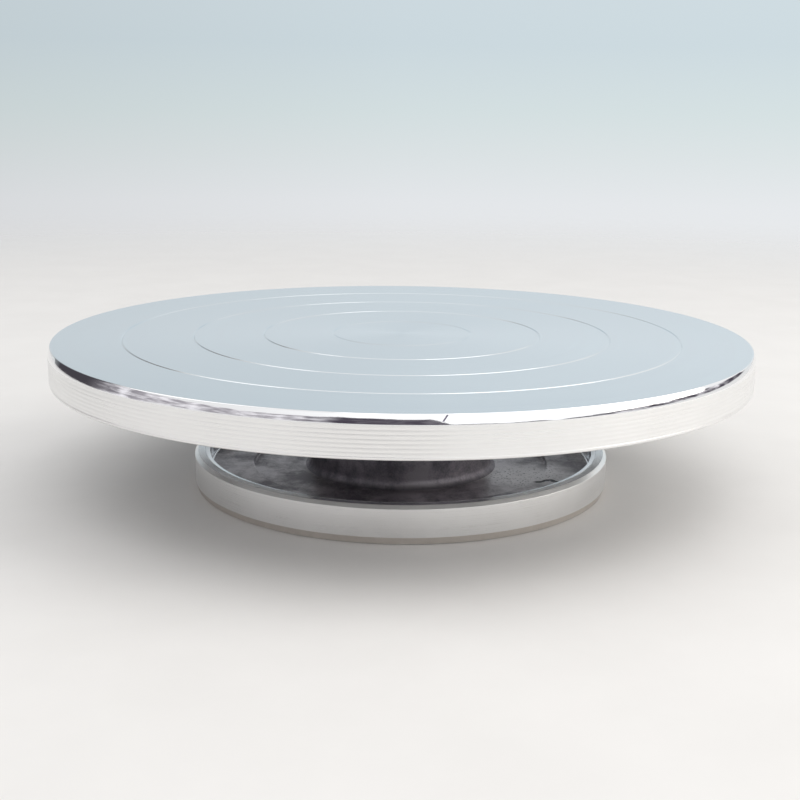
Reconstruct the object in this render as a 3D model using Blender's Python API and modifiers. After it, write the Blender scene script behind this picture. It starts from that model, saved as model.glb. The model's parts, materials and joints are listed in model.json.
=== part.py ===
"""Hand-spun cake turntable: a ribbed aluminium head on a flanged spindle, which runs in two
ball bearings inside the central pedestal of a dished aluminium base.

Units are metres, +Z is up, and the origin is on the floor below the centre of the base.
"""

import math

import bmesh
import bpy
from mathutils import Matrix, Vector

MM = 0.001
GAP = 0.3 * MM                     # clearance between neighbouring pieces
LARGE_STEPS = 56                   # sides of the head and the base
MEDIUM_STEPS = 28                  # sides of the spindle, the bearings and their fittings
SMALL_STEPS = 16                   # sides of the screws
PAD_STEPS = 24
MERGE = 0.00001

# Work head
HEAD_RADIUS = 150 * MM
HEAD_TOP = 66 * MM
HEAD_SKIRT_BOTTOM = 50.4 * MM
HEAD_PLATE = 6 * MM                # thickness of the work plate
SKIRT_WALL = 9.5 * MM
EDGE_DROP = 3.7 * MM               # height of the polished edge
EDGE_SETBACK = 1.1 * MM            # how far the flat top ends short of the rim
EDGE_BREAK = (0.65, 0.3)           # the edge's middle corner, as shares of its setback and drop
GUIDE_RING_PITCH = 30 * MM
GUIDE_RING_COUNT = 4
GUIDE_RING_HALF_WIDTH = 0.45 * MM
GUIDE_RING_DEPTH = 0.35 * MM
FIRST_RING_DEPTH = 0.15 * MM
BOSS_RADIUS = 38 * MM
BOSS_BOTTOM = 48 * MM
RIB_COUNT = 6
RIB_THICKNESS = 5 * MM
RIB_DROP_INNER = 9 * MM            # rib depth below the plate, next to the boss
RIB_DROP_OUTER = 6 * MM            # and next to the skirt

# Base
BASE_RADIUS = 91 * MM
BASE_RIM_TOP = 15.9 * MM
BASE_UNDERSIDE = 0.4 * MM          # the casting stands this high on its pads
BASE_RECESS_RADIUS = 66 * MM
BASE_RECESS_TOP = 3 * MM
DISH_RADIUS = 84 * MM
DISH_LEDGE_RADIUS = 65.3 * MM
DISH_LEDGE_TOP = 8.8 * MM
DISH_FLOOR = 6.8 * MM
PEDESTAL_RADIUS = 40 * MM
PEDESTAL_TOP = 46 * MM
PEDESTAL_FILLET = 3.5 * MM

# Ball bearings of the 20 x 47 x 14 size
BEARING_BORE_RADIUS = 10 * MM
BEARING_OUTER_RADIUS = 23.5 * MM
BEARING_WIDTH = 14 * MM
BEARING_PITCH_RADIUS = 16.75 * MM
BALL_RADIUS = 3.97 * MM
BALL_COUNT = 8
RACE_RADIUS = BALL_RADIUS + 0.4 * MM
INNER_SHOULDER_RADIUS = 13.9 * MM
OUTER_SHOULDER_RADIUS = 19.6 * MM
SHIELD_SEAT_RADIUS = 20.4 * MM
SHIELD_THICKNESS = 0.5 * MM
SHIELD_INSET = 0.4 * MM
LOWER_BEARING_BOTTOM = 11 * MM
UPPER_BEARING_BOTTOM = 31 * MM

# Spindle and what it carries
JOURNAL_RADIUS = BEARING_BORE_RADIUS - GAP
SPINDLE_BOTTOM = 4 * MM
COLLAR_RADIUS = 13.5 * MM
FLANGE_RADIUS = 30 * MM
FLANGE_THICKNESS = 6 * MM
FLANGE_BOTTOM = 50.3 * MM
FLANGE_SCREW_CIRCLE = 22 * MM
LOCK_NUT_RADIUS = 16 * MM
LOCK_NUT_HEIGHT = 5 * MM
LOCK_WASHER_RADIUS = 17 * MM
LOCK_WASHER_THICKNESS = 1 * MM

# Retaining ring, cover, screws and pads
RING_GROOVE_RADIUS = 25.2 * MM
RING_THICKNESS = 1.4 * MM
RING_DROP = 0.1 * MM               # from the bearing's seat down to the groove
RING_GROOVE_HEIGHT = RING_THICKNESS + 0.6 * MM
RING_INNER_RADIUS = 21 * MM
COVER_RADIUS = 38 * MM
COVER_THICKNESS = 1.5 * MM
COVER_SCREW_CIRCLE = 31.5 * MM
COVER_SCREW_HOLE_TOP = 12 * MM
SCREW_COUNT = 4
PAD_RADIUS = 7 * MM
PAD_HEIGHT = 2.5 * MM
PAD_CIRCLE = 77 * MM
PAD_COUNT = 4

OBJECT_NAME = "cake_turntable"


def clear_scene():
    for thing in list(bpy.data.objects):
        bpy.data.objects.remove(thing, do_unlink=True)


def make_collection(name):
    collection = bpy.data.collections.new(name)
    bpy.context.scene.collection.children.link(collection)
    return collection


clear_scene()
PARTS = make_collection(OBJECT_NAME)
CUTTERS = make_collection("cutters")


# ---------------------------------------------------------------- materials

def make_material(name, colour, roughness, metallic):
    material = bpy.data.materials.new(name)
    material.use_nodes = True
    shader = material.node_tree.nodes["Principled BSDF"]
    shader.inputs["Base Color"].default_value = (*colour, 1.0)
    shader.inputs["Roughness"].default_value = roughness
    shader.inputs["Metallic"].default_value = metallic
    material.diffuse_color = (*colour, 1.0)
    return material


TURNED_ALUMINIUM = make_material("turned_aluminium", (0.72, 0.78, 0.82), 0.28, 1.0)
CAST_ALUMINIUM = make_material("cast_aluminium", (0.60, 0.60, 0.60), 0.40, 1.0)
SPINDLE_STEEL = make_material("spindle_steel", (0.46, 0.45, 0.44), 0.32, 1.0)
BEARING_STEEL = make_material("bearing_steel", (0.62, 0.62, 0.63), 0.15, 1.0)
SHIELD_STEEL = make_material("shield_steel", (0.66, 0.65, 0.62), 0.30, 1.0)
CAGE_NYLON = make_material("cage_nylon", (0.62, 0.56, 0.42), 0.50, 0.0)
SPRING_STEEL = make_material("spring_steel", (0.08, 0.08, 0.09), 0.35, 1.0)
ZINC_PLATE = make_material("zinc_plate", (0.62, 0.63, 0.66), 0.32, 1.0)
SCREW_STEEL = make_material("screw_steel", (0.20, 0.20, 0.21), 0.35, 1.0)
PAD_RUBBER = make_material("pad_rubber", (0.03, 0.03, 0.03), 0.75, 0.0)


# ---------------------------------------------------------------- modelling helpers

def smooth(mesh):
    mesh.shade_smooth()
    mesh.set_sharp_from_angle(angle=math.radians(30))


def add_object(name, mesh, collection, material=None, parent=None):
    thing = bpy.data.objects.new(name, mesh)
    collection.objects.link(thing)
    if material:
        mesh.materials.append(material)
    if parent:
        thing.parent = parent
    return thing


def hide_cutter(cutter):
    cutter.hide_render = True
    cutter.display_type = "WIRE"
    return cutter


def add_axis(name, height):
    """An empty on the turning axis, which a moving group hangs from."""
    axis = bpy.data.objects.new(name, None)
    axis.empty_display_size = 20 * MM
    axis.location = (0, 0, height)
    PARTS.objects.link(axis)
    return axis


def outline_mesh(name, outline, closed):
    mesh = bpy.data.meshes.new(name)
    edges = [(i, i + 1) for i in range(len(outline) - 1)]
    if closed:
        edges.append((len(outline) - 1, 0))
    mesh.from_pydata([(radius, 0, height) for radius, height in outline], edges, [])
    return mesh


def turn(name, outline, steps, closed, collection, material=None, parent=None):
    """Turn an outline of (radius, height) points about Z; it runs down the outer side."""
    thing = add_object(name, outline_mesh(name, outline, closed), collection, material, parent)
    screw = thing.modifiers.new("turned", "SCREW")
    screw.axis = "Z"
    screw.angle = math.tau
    screw.steps = steps
    screw.render_steps = steps
    screw.use_merge_vertices = True
    screw.merge_threshold = MERGE
    screw.use_smooth_shade = True
    return thing


def turned_part(name, outline, steps, material, closed=True, parent=None):
    return turn(name, outline, steps, closed, PARTS, material, parent)


def turned_cutter(name, outline, steps, at=(0, 0, 0)):
    cutter = hide_cutter(turn(name, outline, steps, False, CUTTERS))
    cutter.location = at
    return cutter


def box_cutter(name, size, at, angle=0.0):
    mesh = bpy.data.meshes.new(name)
    work = bmesh.new()
    bmesh.ops.create_cube(work, size=1.0, matrix=Matrix.Diagonal((*size, 1.0)))
    work.to_mesh(mesh)
    work.free()
    cutter = hide_cutter(add_object(name, mesh, CUTTERS))
    cutter.matrix_world = Matrix.Rotation(angle, 4, "Z") @ Matrix.Translation(at)
    return cutter


def combine(thing, tool, operation="DIFFERENCE"):
    boolean = thing.modifiers.new(tool.name, "BOOLEAN")
    boolean.operation = operation
    boolean.object = tool
    boolean.solver = "EXACT"


def settle(thing):
    """Apply the turning and the cuts, then smooth the round faces and keep the corners crisp."""
    evaluated = thing.evaluated_get(bpy.context.evaluated_depsgraph_get())
    thing.data = bpy.data.meshes.new_from_object(evaluated)
    thing.modifiers.clear()
    thing.data.name = thing.name
    smooth(thing.data)


def on_circle(radius, index, count, height, turn_by=0.0):
    angle = math.tau * index / count + turn_by
    return Vector((radius * math.cos(angle), radius * math.sin(angle), height))


def arc(centre, radius, start, end, pieces):
    """Points along an arc in the (radius, height) plane, angles in degrees."""
    angles = [math.radians(start + (end - start) * i / pieces) for i in range(pieces + 1)]
    return [(centre[0] + radius * math.cos(a), centre[1] + radius * math.sin(a)) for a in angles]


def rod(radius, top, bottom):
    """Outline of a plain cylinder, used for holes."""
    return [(0, top), (radius, top), (radius, bottom), (0, bottom)]


# ---------------------------------------------------------------- screws

def countersunk_outline(head_radius, shank_radius, length):
    """Outline of a countersunk screw that points down, its flat face at height 0."""
    return [
        (0, 0),
        (head_radius, 0),
        (shank_radius, shank_radius - head_radius),
        (shank_radius, -length),
        (0, -length),
    ]


def countersink_outline(head_radius, shank_radius, length):
    """The hole for that screw: it is wider by the gap and starts above the surface."""
    above = 1 * MM
    return [
        (0, above),
        (head_radius + GAP, above),
        (head_radius + GAP, 0),
        (shank_radius + GAP, shank_radius - head_radius),
        (shank_radius + GAP, -length),
        (0, -length),
    ]


FLANGE_SCREW = {"head_radius": 4.8 * MM, "shank_radius": 2.5 * MM, "length": 11.5 * MM}
COVER_SCREW = {"head_radius": 3.6 * MM, "shank_radius": 2.0 * MM, "length": 9 * MM}
FLANGE_SOCKET_WIDTH = 3.4 * MM
COVER_SOCKET_WIDTH = 2.4 * MM
SOCKET_DEPTH_RATIO = 0.6           # of the socket's width


def add_screw(name, size, at, socket_width, parent=None):
    """A countersunk socket screw driven upwards, its flat face looking down."""
    screw = turned_part(
        name, countersunk_outline(**size), SMALL_STEPS, SCREW_STEEL, closed=False, parent=parent)
    screw.location = at
    screw.rotation_euler = (math.pi, 0, 0)
    socket_mesh = bpy.data.meshes.new(name + "_socket")
    work = bmesh.new()
    bmesh.ops.create_cone(
        work, cap_ends=True, segments=6, radius1=socket_width / 2, radius2=socket_width / 2,
        depth=2 * SOCKET_DEPTH_RATIO * socket_width,
    )
    work.to_mesh(socket_mesh)
    work.free()
    socket = hide_cutter(add_object(name + "_socket", socket_mesh, CUTTERS, parent=screw))
    combine(screw, socket)
    settle(screw)
    return screw


def cut_screw_hole(thing, name, size, at):
    cutter = turned_cutter(name, countersink_outline(**size), SMALL_STEPS, at)
    cutter.rotation_euler = (math.pi, 0, 0)
    combine(thing, cutter)


# ---------------------------------------------------------------- work head

def guide_rings():
    """The V grooves in the top face, from the centre outwards; the first is only a scribed line."""
    points = []
    for ring in range(1, GUIDE_RING_COUNT + 1):
        radius = ring * GUIDE_RING_PITCH
        depth = FIRST_RING_DEPTH if ring == 1 else GUIDE_RING_DEPTH
        points += [
            (radius - GUIDE_RING_HALF_WIDTH, HEAD_TOP),
            (radius, HEAD_TOP - depth),
            (radius + GUIDE_RING_HALF_WIDTH, HEAD_TOP),
        ]
    return points


def head_outline():
    plate_underside = HEAD_TOP - HEAD_PLATE
    skirt_inside = HEAD_RADIUS - SKIRT_WALL
    corner = 3 * MM
    edge_bevel = 0.6 * MM
    flange_seat = FLANGE_BOTTOM + FLANGE_THICKNESS + GAP
    return [
        (0, HEAD_TOP),
        *guide_rings(),
        (HEAD_RADIUS - EDGE_SETBACK, HEAD_TOP),
        (HEAD_RADIUS - (1 - EDGE_BREAK[0]) * EDGE_SETBACK, HEAD_TOP - EDGE_BREAK[1] * EDGE_DROP),
        (HEAD_RADIUS, HEAD_TOP - EDGE_DROP),
        (HEAD_RADIUS, HEAD_SKIRT_BOTTOM + edge_bevel),
        (HEAD_RADIUS - edge_bevel, HEAD_SKIRT_BOTTOM),
        (skirt_inside + edge_bevel, HEAD_SKIRT_BOTTOM),
        (skirt_inside, HEAD_SKIRT_BOTTOM + edge_bevel),
        *arc((skirt_inside - corner, plate_underside - corner), corner, 0, 90, 2),
        *arc((BOSS_RADIUS + corner, plate_underside - corner), corner, 90, 180, 2),
        (BOSS_RADIUS, BOSS_BOTTOM + edge_bevel),
        (BOSS_RADIUS - edge_bevel, BOSS_BOTTOM),
        (FLANGE_RADIUS + GAP, BOSS_BOTTOM),
        (FLANGE_RADIUS + GAP, flange_seat),
        (0, flange_seat),
    ]


def add_rib(index):
    """A tapered web that runs from the boss to the skirt, sunk into both and into the plate."""
    overlap = 1.5 * MM
    start = BOSS_RADIUS - overlap
    length = HEAD_RADIUS - SKIRT_WALL + overlap - start
    top = HEAD_TOP - HEAD_PLATE + overlap
    rib = box_cutter(
        f"rib_{index + 1}", (length, RIB_THICKNESS, 1.0), (start + length / 2, 0, 0),
        math.tau * index / RIB_COUNT,
    )
    for corner in rib.data.vertices:
        depth = RIB_DROP_OUTER if corner.co.x > 0 else RIB_DROP_INNER
        corner.co.z = top if corner.co.z > 0 else top - overlap - depth
    return rib


def add_wheel_head(axis):
    head = turned_part("wheel_head", head_outline(), LARGE_STEPS, TURNED_ALUMINIUM, False, axis)
    for index in range(RIB_COUNT):
        combine(head, add_rib(index), "UNION")
    hole_radius = FLANGE_SCREW["shank_radius"] + GAP
    screw_top = FLANGE_BOTTOM + FLANGE_SCREW["length"] + 1 * MM
    for index in range(SCREW_COUNT):
        at = on_circle(FLANGE_SCREW_CIRCLE, index, SCREW_COUNT, 0, math.pi / SCREW_COUNT)
        outline = rod(hole_radius, screw_top, BOSS_BOTTOM)
        combine(head, turned_cutter(f"head_screw_hole_{index + 1}", outline, SMALL_STEPS, at))
    settle(head)


# ---------------------------------------------------------------- base

def base_outline():
    bore = BEARING_OUTER_RADIUS + GAP
    shoulder = 20.5 * MM
    bevel = 1.4 * MM
    wall_foot = 3.2 * MM
    foot_setback = 0.9 * MM
    ring_top = LOWER_BEARING_BOTTOM - RING_DROP
    ring_bottom = ring_top - RING_GROOVE_HEIGHT
    lower_seat = LOWER_BEARING_BOTTOM + BEARING_WIDTH + GAP
    upper_seat = UPPER_BEARING_BOTTOM - GAP
    fillet_centre = (PEDESTAL_RADIUS + PEDESTAL_FILLET, DISH_FLOOR + PEDESTAL_FILLET)
    return [
        (BASE_RADIUS, BASE_RIM_TOP - bevel),
        (BASE_RADIUS, wall_foot),
        (BASE_RADIUS - foot_setback, BASE_UNDERSIDE),
        (BASE_RECESS_RADIUS + 1 * MM, BASE_UNDERSIDE),
        (BASE_RECESS_RADIUS, BASE_RECESS_TOP),
        (bore, BASE_RECESS_TOP),
        (bore, ring_bottom),
        (RING_GROOVE_RADIUS, ring_bottom),
        (RING_GROOVE_RADIUS, ring_top),
        (bore, ring_top),
        (bore, lower_seat),
        (shoulder, lower_seat),
        (shoulder, upper_seat),
        (bore, upper_seat),
        (bore, PEDESTAL_TOP),
        (PEDESTAL_RADIUS - 1 * MM, PEDESTAL_TOP),
        (PEDESTAL_RADIUS, PEDESTAL_TOP - 1 * MM),
        *arc(fillet_centre, PEDESTAL_FILLET, 180, 270, 3),
        (DISH_LEDGE_RADIUS, DISH_FLOOR),
        (DISH_LEDGE_RADIUS, DISH_LEDGE_TOP),
        (DISH_RADIUS - 0.8 * MM, DISH_LEDGE_TOP),
        (DISH_RADIUS, DISH_LEDGE_TOP + 0.8 * MM),
        (DISH_RADIUS, BASE_RIM_TOP - bevel),
        (DISH_RADIUS + bevel, BASE_RIM_TOP),
        (BASE_RADIUS - bevel, BASE_RIM_TOP),
    ]


def add_base_casting():
    base = turned_part("base_casting", base_outline(), LARGE_STEPS, CAST_ALUMINIUM)
    hole_radius = COVER_SCREW["shank_radius"] + GAP
    for index in range(SCREW_COUNT):
        at = on_circle(COVER_SCREW_CIRCLE, index, SCREW_COUNT, 0)
        outline = rod(hole_radius, COVER_SCREW_HOLE_TOP, BASE_RECESS_TOP - 1 * MM)
        combine(base, turned_cutter(f"cover_screw_hole_{index + 1}", outline, SMALL_STEPS, at))
    for index in range(PAD_COUNT):
        at = on_circle(PAD_CIRCLE, index, PAD_COUNT, 0, math.pi / PAD_COUNT)
        outline = rod(PAD_RADIUS + GAP, PAD_HEIGHT + GAP, -1 * MM)
        combine(base, turned_cutter(f"pad_pocket_{index + 1}", outline, PAD_STEPS, at))
    settle(base)


def add_bottom_cover():
    top = BASE_RECESS_TOP - GAP
    bottom = top - COVER_THICKNESS
    outline = [(0, top), (COVER_RADIUS, top), (COVER_RADIUS, bottom), (0, bottom)]
    cover = turned_part("bottom_cover", outline, MEDIUM_STEPS, ZINC_PLATE, closed=False)
    for index in range(SCREW_COUNT):
        at = on_circle(COVER_SCREW_CIRCLE, index, SCREW_COUNT, bottom)
        cut_screw_hole(cover, f"cover_countersink_{index + 1}", COVER_SCREW, at)
        add_screw(f"cover_screw_{index + 1}", COVER_SCREW, at, COVER_SOCKET_WIDTH)
    settle(cover)


def add_pads():
    edge = 0.4 * MM
    outline = [
        (0, PAD_HEIGHT),
        (PAD_RADIUS, PAD_HEIGHT),
        (PAD_RADIUS, edge),
        (PAD_RADIUS - edge, 0),
        (0, 0),
    ]
    for index in range(PAD_COUNT):
        pad = turned_part(f"foot_pad_{index + 1}", outline, PAD_STEPS, PAD_RUBBER, closed=False)
        pad.location = on_circle(PAD_CIRCLE, index, PAD_COUNT, 0, math.pi / PAD_COUNT)
        settle(pad)


# ---------------------------------------------------------------- spindle and its fittings

def add_spindle(axis):
    flange_top = FLANGE_BOTTOM + FLANGE_THICKNESS
    collar_bottom = UPPER_BEARING_BOTTOM + BEARING_WIDTH + GAP
    bevel = 0.8 * MM
    outline = [
        (0, flange_top),
        (FLANGE_RADIUS - bevel, flange_top),
        (FLANGE_RADIUS, flange_top - bevel),
        (FLANGE_RADIUS, FLANGE_BOTTOM),
        (COLLAR_RADIUS, FLANGE_BOTTOM),
        (COLLAR_RADIUS, collar_bottom),
        (JOURNAL_RADIUS, collar_bottom),
        (JOURNAL_RADIUS, SPINDLE_BOTTOM + bevel),
        (JOURNAL_RADIUS - bevel, SPINDLE_BOTTOM),
        (0, SPINDLE_BOTTOM),
    ]
    spindle = turned_part("spindle", outline, MEDIUM_STEPS, SPINDLE_STEEL, False, axis)
    for index in range(SCREW_COUNT):
        at = on_circle(FLANGE_SCREW_CIRCLE, index, SCREW_COUNT, FLANGE_BOTTOM, math.pi / SCREW_COUNT)
        cut_screw_hole(spindle, f"flange_countersink_{index + 1}", FLANGE_SCREW, at)
        add_screw(f"spindle_screw_{index + 1}", FLANGE_SCREW, at, FLANGE_SOCKET_WIDTH, axis)
    settle(spindle)


def sleeve_outline(outer, inner, top, bottom):
    return [(outer, top), (outer, bottom), (inner, bottom), (inner, top)]


def add_spacer_sleeve(axis):
    top = UPPER_BEARING_BOTTOM - GAP
    bottom = LOWER_BEARING_BOTTOM + BEARING_WIDTH + GAP
    outline = sleeve_outline(INNER_SHOULDER_RADIUS - 0.7 * MM, BEARING_BORE_RADIUS, top, bottom)
    settle(turned_part("spacer_sleeve", outline, MEDIUM_STEPS, SPINDLE_STEEL, parent=axis))


def add_lock_washer(axis):
    top = LOWER_BEARING_BOTTOM - GAP
    outline = sleeve_outline(LOCK_WASHER_RADIUS, BEARING_BORE_RADIUS, top, top - LOCK_WASHER_THICKNESS)
    washer = turned_part("lock_washer", outline, MEDIUM_STEPS, ZINC_PLATE, parent=axis)
    notch_count = 8
    for index in range(notch_count):
        at = (LOCK_WASHER_RADIUS, 0, top)
        size = (3 * MM, 3.4 * MM, 4 * MM)
        angle = math.tau * index / notch_count
        combine(washer, box_cutter(f"washer_notch_{index + 1}", size, at, angle))
    settle(washer)


def add_lock_nut(axis):
    top = LOWER_BEARING_BOTTOM - 2 * GAP - LOCK_WASHER_THICKNESS
    bottom = top - LOCK_NUT_HEIGHT
    bevel = 0.8 * MM
    outline = [
        (LOCK_NUT_RADIUS, top),
        (LOCK_NUT_RADIUS, bottom + bevel),
        (LOCK_NUT_RADIUS - bevel, bottom),
        (BEARING_BORE_RADIUS, bottom),
        (BEARING_BORE_RADIUS, top),
    ]
    nut = turned_part("lock_nut", outline, MEDIUM_STEPS, SPRING_STEEL, parent=axis)
    slot_count = 4
    for index in range(slot_count):
        at = (LOCK_NUT_RADIUS, 0, top)
        size = (4 * MM, 4 * MM, 3 * LOCK_NUT_HEIGHT)
        angle = math.tau * index / slot_count
        combine(nut, box_cutter(f"nut_slot_{index + 1}", size, at, angle))
    settle(nut)


def add_retaining_ring():
    """An internal ring with a gap between its ends, sprung into the groove below the bearing."""
    top = LOWER_BEARING_BOTTOM - RING_DROP - GAP
    outline = sleeve_outline(RING_GROOVE_RADIUS - GAP, RING_INNER_RADIUS, top, top - RING_THICKNESS)
    ring = turned_part("retaining_ring", outline, MEDIUM_STEPS, SPRING_STEEL)
    size = (12 * MM, 7 * MM, 8 * MM)
    combine(ring, box_cutter("ring_gap", size, (RING_GROOVE_RADIUS, 0, top), math.pi / 4))
    settle(ring)


# ---------------------------------------------------------------- ball bearings

def race_points(shoulder_radius, middle):
    """The groove that the balls run in, cut into a shoulder of the given radius.

    It runs up the outer ring's groove and down the inner ring's.
    """
    reach = shoulder_radius - BEARING_PITCH_RADIUS
    half_angle = math.degrees(math.acos(abs(reach) / RACE_RADIUS))
    facing = 0 if reach > 0 else 180
    centre = (BEARING_PITCH_RADIUS, middle)
    return arc(centre, RACE_RADIUS, facing - half_angle, facing + half_angle, 4)


def outer_ring_outline(bottom):
    top = bottom + BEARING_WIDTH
    middle = bottom + BEARING_WIDTH / 2
    seat = SHIELD_INSET + SHIELD_THICKNESS + GAP
    return [
        (BEARING_OUTER_RADIUS, top),
        (BEARING_OUTER_RADIUS, bottom),
        (SHIELD_SEAT_RADIUS, bottom),
        (SHIELD_SEAT_RADIUS, bottom + seat),
        (OUTER_SHOULDER_RADIUS, bottom + seat),
        *race_points(OUTER_SHOULDER_RADIUS, middle),
        (OUTER_SHOULDER_RADIUS, top - seat),
        (SHIELD_SEAT_RADIUS, top - seat),
        (SHIELD_SEAT_RADIUS, top),
    ]


def inner_ring_outline(bottom):
    top = bottom + BEARING_WIDTH
    middle = bottom + BEARING_WIDTH / 2
    return [
        (INNER_SHOULDER_RADIUS, top),
        *race_points(INNER_SHOULDER_RADIUS, middle),
        (INNER_SHOULDER_RADIUS, bottom),
        (BEARING_BORE_RADIUS, bottom),
        (BEARING_BORE_RADIUS, top),
    ]


def ball_mesh(name, radius):
    mesh = bpy.data.meshes.new(name)
    work = bmesh.new()
    bmesh.ops.create_uvsphere(work, u_segments=10, v_segments=6, radius=radius)
    work.to_mesh(mesh)
    work.free()
    mesh.shade_smooth()
    return mesh


def add_cage_and_balls(name, axis):
    """A crown cage and its balls, which travel round together on the axis empty."""
    crown = 5.1 * MM
    open_side = 2.3 * MM
    half_wall = 1.2 * MM
    outline = sleeve_outline(
        BEARING_PITCH_RADIUS + half_wall, BEARING_PITCH_RADIUS - half_wall, open_side, -crown)
    cage = turned_part(name + "_cage", outline, MEDIUM_STEPS, CAGE_NYLON, parent=axis)
    balls = ball_mesh(name + "_ball", BALL_RADIUS)
    pockets = ball_mesh(name + "_pocket", BALL_RADIUS + GAP)
    balls.materials.append(BEARING_STEEL)
    for index in range(BALL_COUNT):
        at = on_circle(BEARING_PITCH_RADIUS, index, BALL_COUNT, 0)
        ball = add_object(f"{name}_ball_{index + 1}", balls, PARTS, parent=axis)
        ball.location = at
        pocket = hide_cutter(add_object(f"{name}_pocket_{index + 1}", pockets, CUTTERS, parent=axis))
        pocket.location = at
        combine(cage, pocket)
    settle(cage)


def add_bearing(name, bottom, head_axis, cage_axis):
    outer = turned_part(name + "_outer_ring", outer_ring_outline(bottom), MEDIUM_STEPS, BEARING_STEEL)
    inner = turned_part(
        name + "_inner_ring", inner_ring_outline(bottom), MEDIUM_STEPS, BEARING_STEEL, True, head_axis)
    settle(outer)
    settle(inner)
    add_cage_and_balls(name, cage_axis)
    shield_outer = SHIELD_SEAT_RADIUS - GAP
    shield_inner = INNER_SHOULDER_RADIUS + GAP
    low = bottom + SHIELD_INSET
    high = bottom + BEARING_WIDTH - SHIELD_INSET - SHIELD_THICKNESS
    for side, base in (("bottom", low), ("top", high)):
        outline = sleeve_outline(shield_outer, shield_inner, base + SHIELD_THICKNESS, base)
        settle(turned_part(f"{name}_{side}_shield", outline, MEDIUM_STEPS, SHIELD_STEEL))


# ---------------------------------------------------------------- assembly

def build():
    head_axis = add_axis("head_axis", 0)
    upper_axis = add_axis("upper_cage_axis", UPPER_BEARING_BOTTOM + BEARING_WIDTH / 2)
    lower_axis = add_axis("lower_cage_axis", LOWER_BEARING_BOTTOM + BEARING_WIDTH / 2)
    add_wheel_head(head_axis)
    add_base_casting()
    add_bottom_cover()
    add_pads()
    add_spindle(head_axis)
    add_spacer_sleeve(head_axis)
    add_lock_washer(head_axis)
    add_lock_nut(head_axis)
    add_retaining_ring()
    add_bearing("upper_bearing", UPPER_BEARING_BOTTOM, head_axis, upper_axis)
    add_bearing("lower_bearing", LOWER_BEARING_BOTTOM, head_axis, lower_axis)


build()
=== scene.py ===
"""Looks of the cake turntable: finely turned pieces in place of the plain solids, procedural metal
finishes, a pale floor and soft studio light.

Lengths are in metres unless a name says otherwise. Outlines are (radius, height) points in
millimetres that run down the outer side of a piece, each with the radius of its rounded corner.
"""

import json
import math

import bmesh
import bpy
import numpy as np
from mathutils import Matrix, Vector


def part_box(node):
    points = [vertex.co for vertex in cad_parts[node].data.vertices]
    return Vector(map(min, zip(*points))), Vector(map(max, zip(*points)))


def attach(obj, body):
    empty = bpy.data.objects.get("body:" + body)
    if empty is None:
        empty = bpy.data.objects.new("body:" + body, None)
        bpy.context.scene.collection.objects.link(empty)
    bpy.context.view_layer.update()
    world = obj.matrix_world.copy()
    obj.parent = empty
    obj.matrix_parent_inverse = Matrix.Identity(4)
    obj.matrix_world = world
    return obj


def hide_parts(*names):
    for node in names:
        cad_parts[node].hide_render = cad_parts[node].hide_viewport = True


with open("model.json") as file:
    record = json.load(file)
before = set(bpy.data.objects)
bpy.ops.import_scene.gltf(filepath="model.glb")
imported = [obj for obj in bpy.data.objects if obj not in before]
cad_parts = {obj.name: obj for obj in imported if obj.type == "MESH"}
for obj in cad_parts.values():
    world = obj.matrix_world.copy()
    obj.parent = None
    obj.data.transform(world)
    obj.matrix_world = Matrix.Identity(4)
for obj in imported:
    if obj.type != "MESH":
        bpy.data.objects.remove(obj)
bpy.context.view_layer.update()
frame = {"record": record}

MM = 0.001


def top_mm(name):
    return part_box(name)[1].z / MM


def bottom_mm(name):
    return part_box(name)[0].z / MM


def radius_mm(name):
    low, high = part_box(name)
    return (high.x - low.x) / 2 / MM


# Sizes that the frame gives, in millimetres
HEAD_RADIUS = radius_mm("wheel_head")
HEAD_TOP = top_mm("wheel_head")
BOSS_BOTTOM = bottom_mm("wheel_head")
BASE_RADIUS = radius_mm("base_casting")
BASE_BOTTOM = bottom_mm("base_casting")
PEDESTAL_TOP = top_mm("base_casting")
FLANGE_RADIUS = radius_mm("spindle")
FLANGE_TOP = top_mm("spindle")
SPINDLE_BOTTOM = bottom_mm("spindle")

# Sizes shared with the design, in millimetres
GAP = 0.3
SKIRT_BOTTOM = 50.4
SKIRT_WALL = 9.5
SKIRT_INSIDE = HEAD_RADIUS - SKIRT_WALL
PLATE_THICKNESS = 6.0
PLATE_UNDERSIDE = HEAD_TOP - PLATE_THICKNESS
EDGE_DROP = 3.7
EDGE_SETBACK = 1.1
GUIDE_RING_PITCH = 30.0
GUIDE_RING_COUNT = 4
GUIDE_RING_HALF_WIDTH = 0.45
GUIDE_RING_DEPTH = 0.35
FIRST_RING_DEPTH = 0.15
BOSS_RADIUS = 38.0
RIB_COUNT = 6
RIB_DROP_INNER = 9.0
RIB_DROP_OUTER = 6.0
RIM_TOP = 15.9
RIM_BEVEL = 1.4
WALL_FOOT = 3.2
FOOT_SETBACK = 0.9
DISH_RADIUS = 84.0
LEDGE_RADIUS = 65.3
LEDGE_TOP = 8.8
DISH_FLOOR = 6.8
PEDESTAL_RADIUS = 40.0
PEDESTAL_FILLET = 3.5
RECESS_RADIUS = 66.0
RECESS_TOP = 3.0
RING_GROOVE_RADIUS = 25.2
RING_GROOVE_BOTTOM = 8.9
RING_GROOVE_TOP = 10.9
BORE_LIP_RADIUS = 20.5
BORE_LIP_BOTTOM = 25.3
BORE_LIP_TOP = 30.7
FLANGE_THICKNESS = 6.0
COLLAR_RADIUS = 13.5
BEARING_BORE = 10.0
BEARING_OUTER = 23.5
BEARING_PITCH = 16.75
BALL_COUNT = 8
BALL_RADIUS = 3.97
RACE_RADIUS = BALL_RADIUS + 0.4
INNER_SHOULDER = 13.9
OUTER_SHOULDER = 19.6
SHIELD_SEAT = 20.4
SHIELD_RECESS = 1.2
CAGE_INSIDE = BEARING_PITCH - 1.2
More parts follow.
